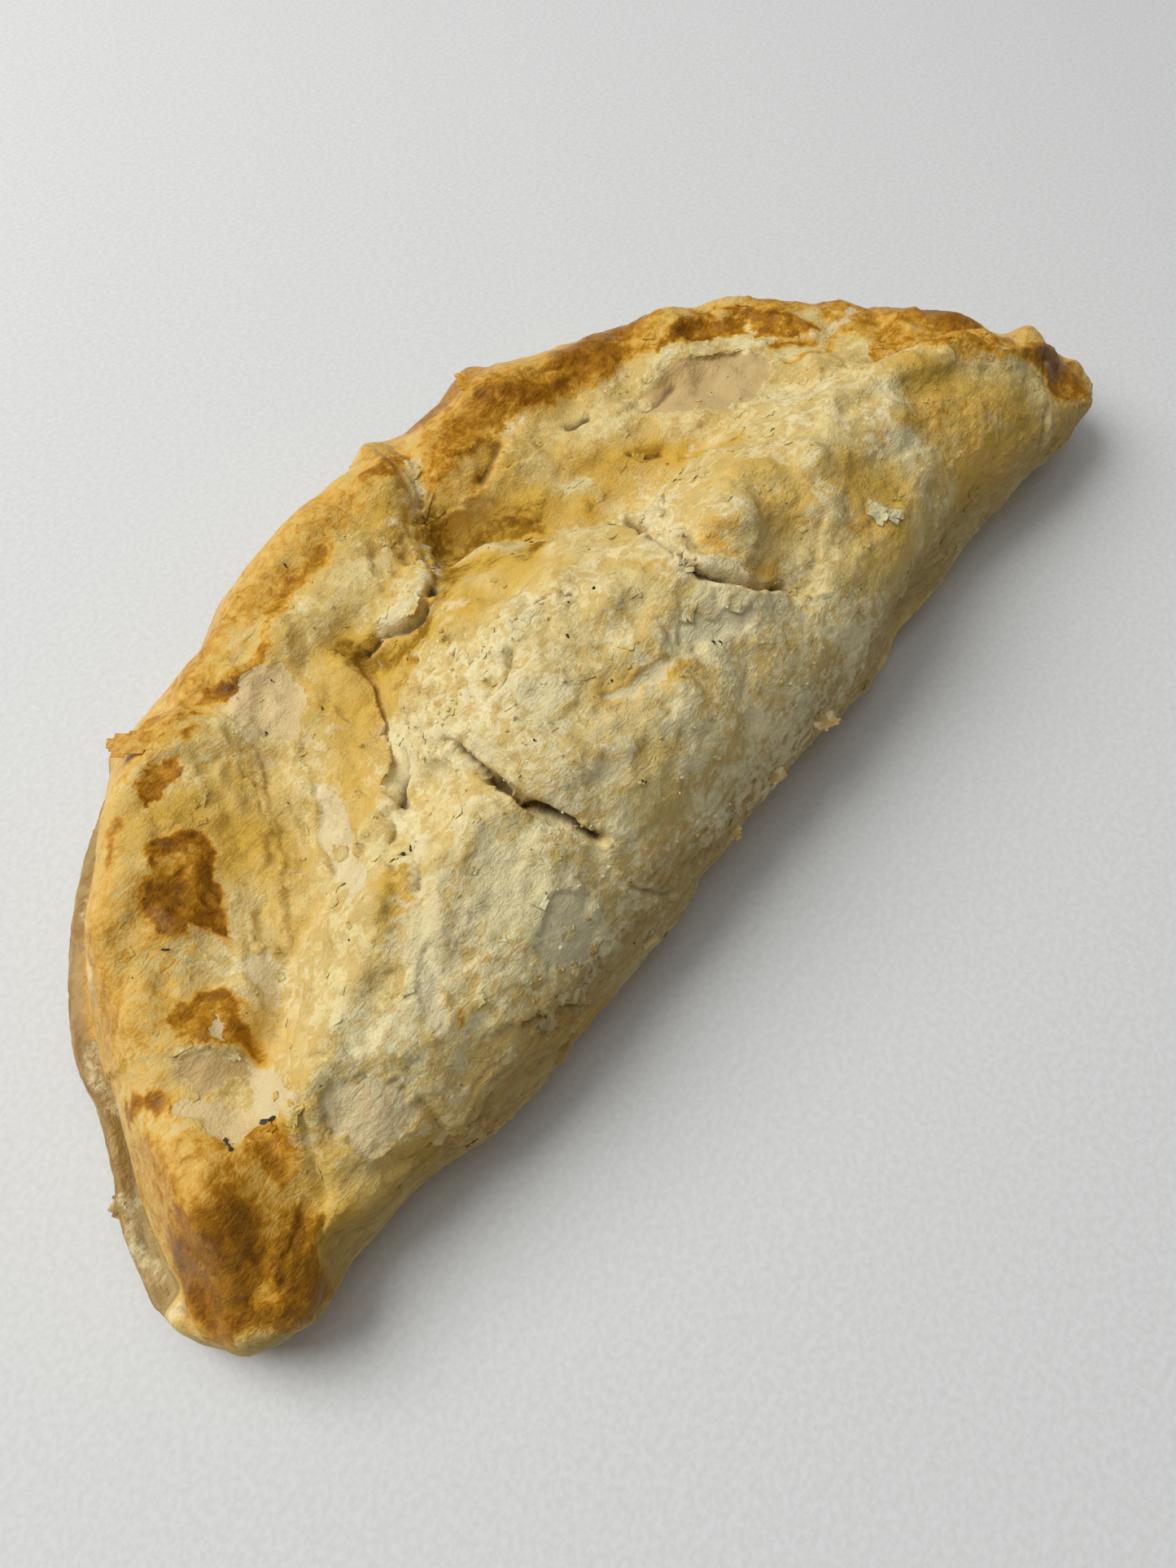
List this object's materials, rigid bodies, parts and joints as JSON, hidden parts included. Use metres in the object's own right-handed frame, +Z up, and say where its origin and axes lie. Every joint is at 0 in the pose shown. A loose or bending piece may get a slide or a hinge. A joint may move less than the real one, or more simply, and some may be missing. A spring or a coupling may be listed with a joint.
{
  "type": "cornish pasty",
  "caption": "Uncut half-moon hand pie of flaky pastry with a thick rolled crimp along the curved side and steam vents cut across the mound.",
  "frame": {"origin": "middle of the bounding box seen from above, on the underside", "axes": "+X along the fold towards the far tip, +Y from the fold to the crimped edge, +Z up out of the table"},
  "size_m": [0.214, 0.0954, 0.0381],
  "materials": {
    "baked_crust": "baked flaky pastry, floury and matt on the mound, egg-washed golden brown on the rolled edge"
  },
  "bodies": {
    "root": {"pasty": "baked_crust"}
  },
  "joints": []
}
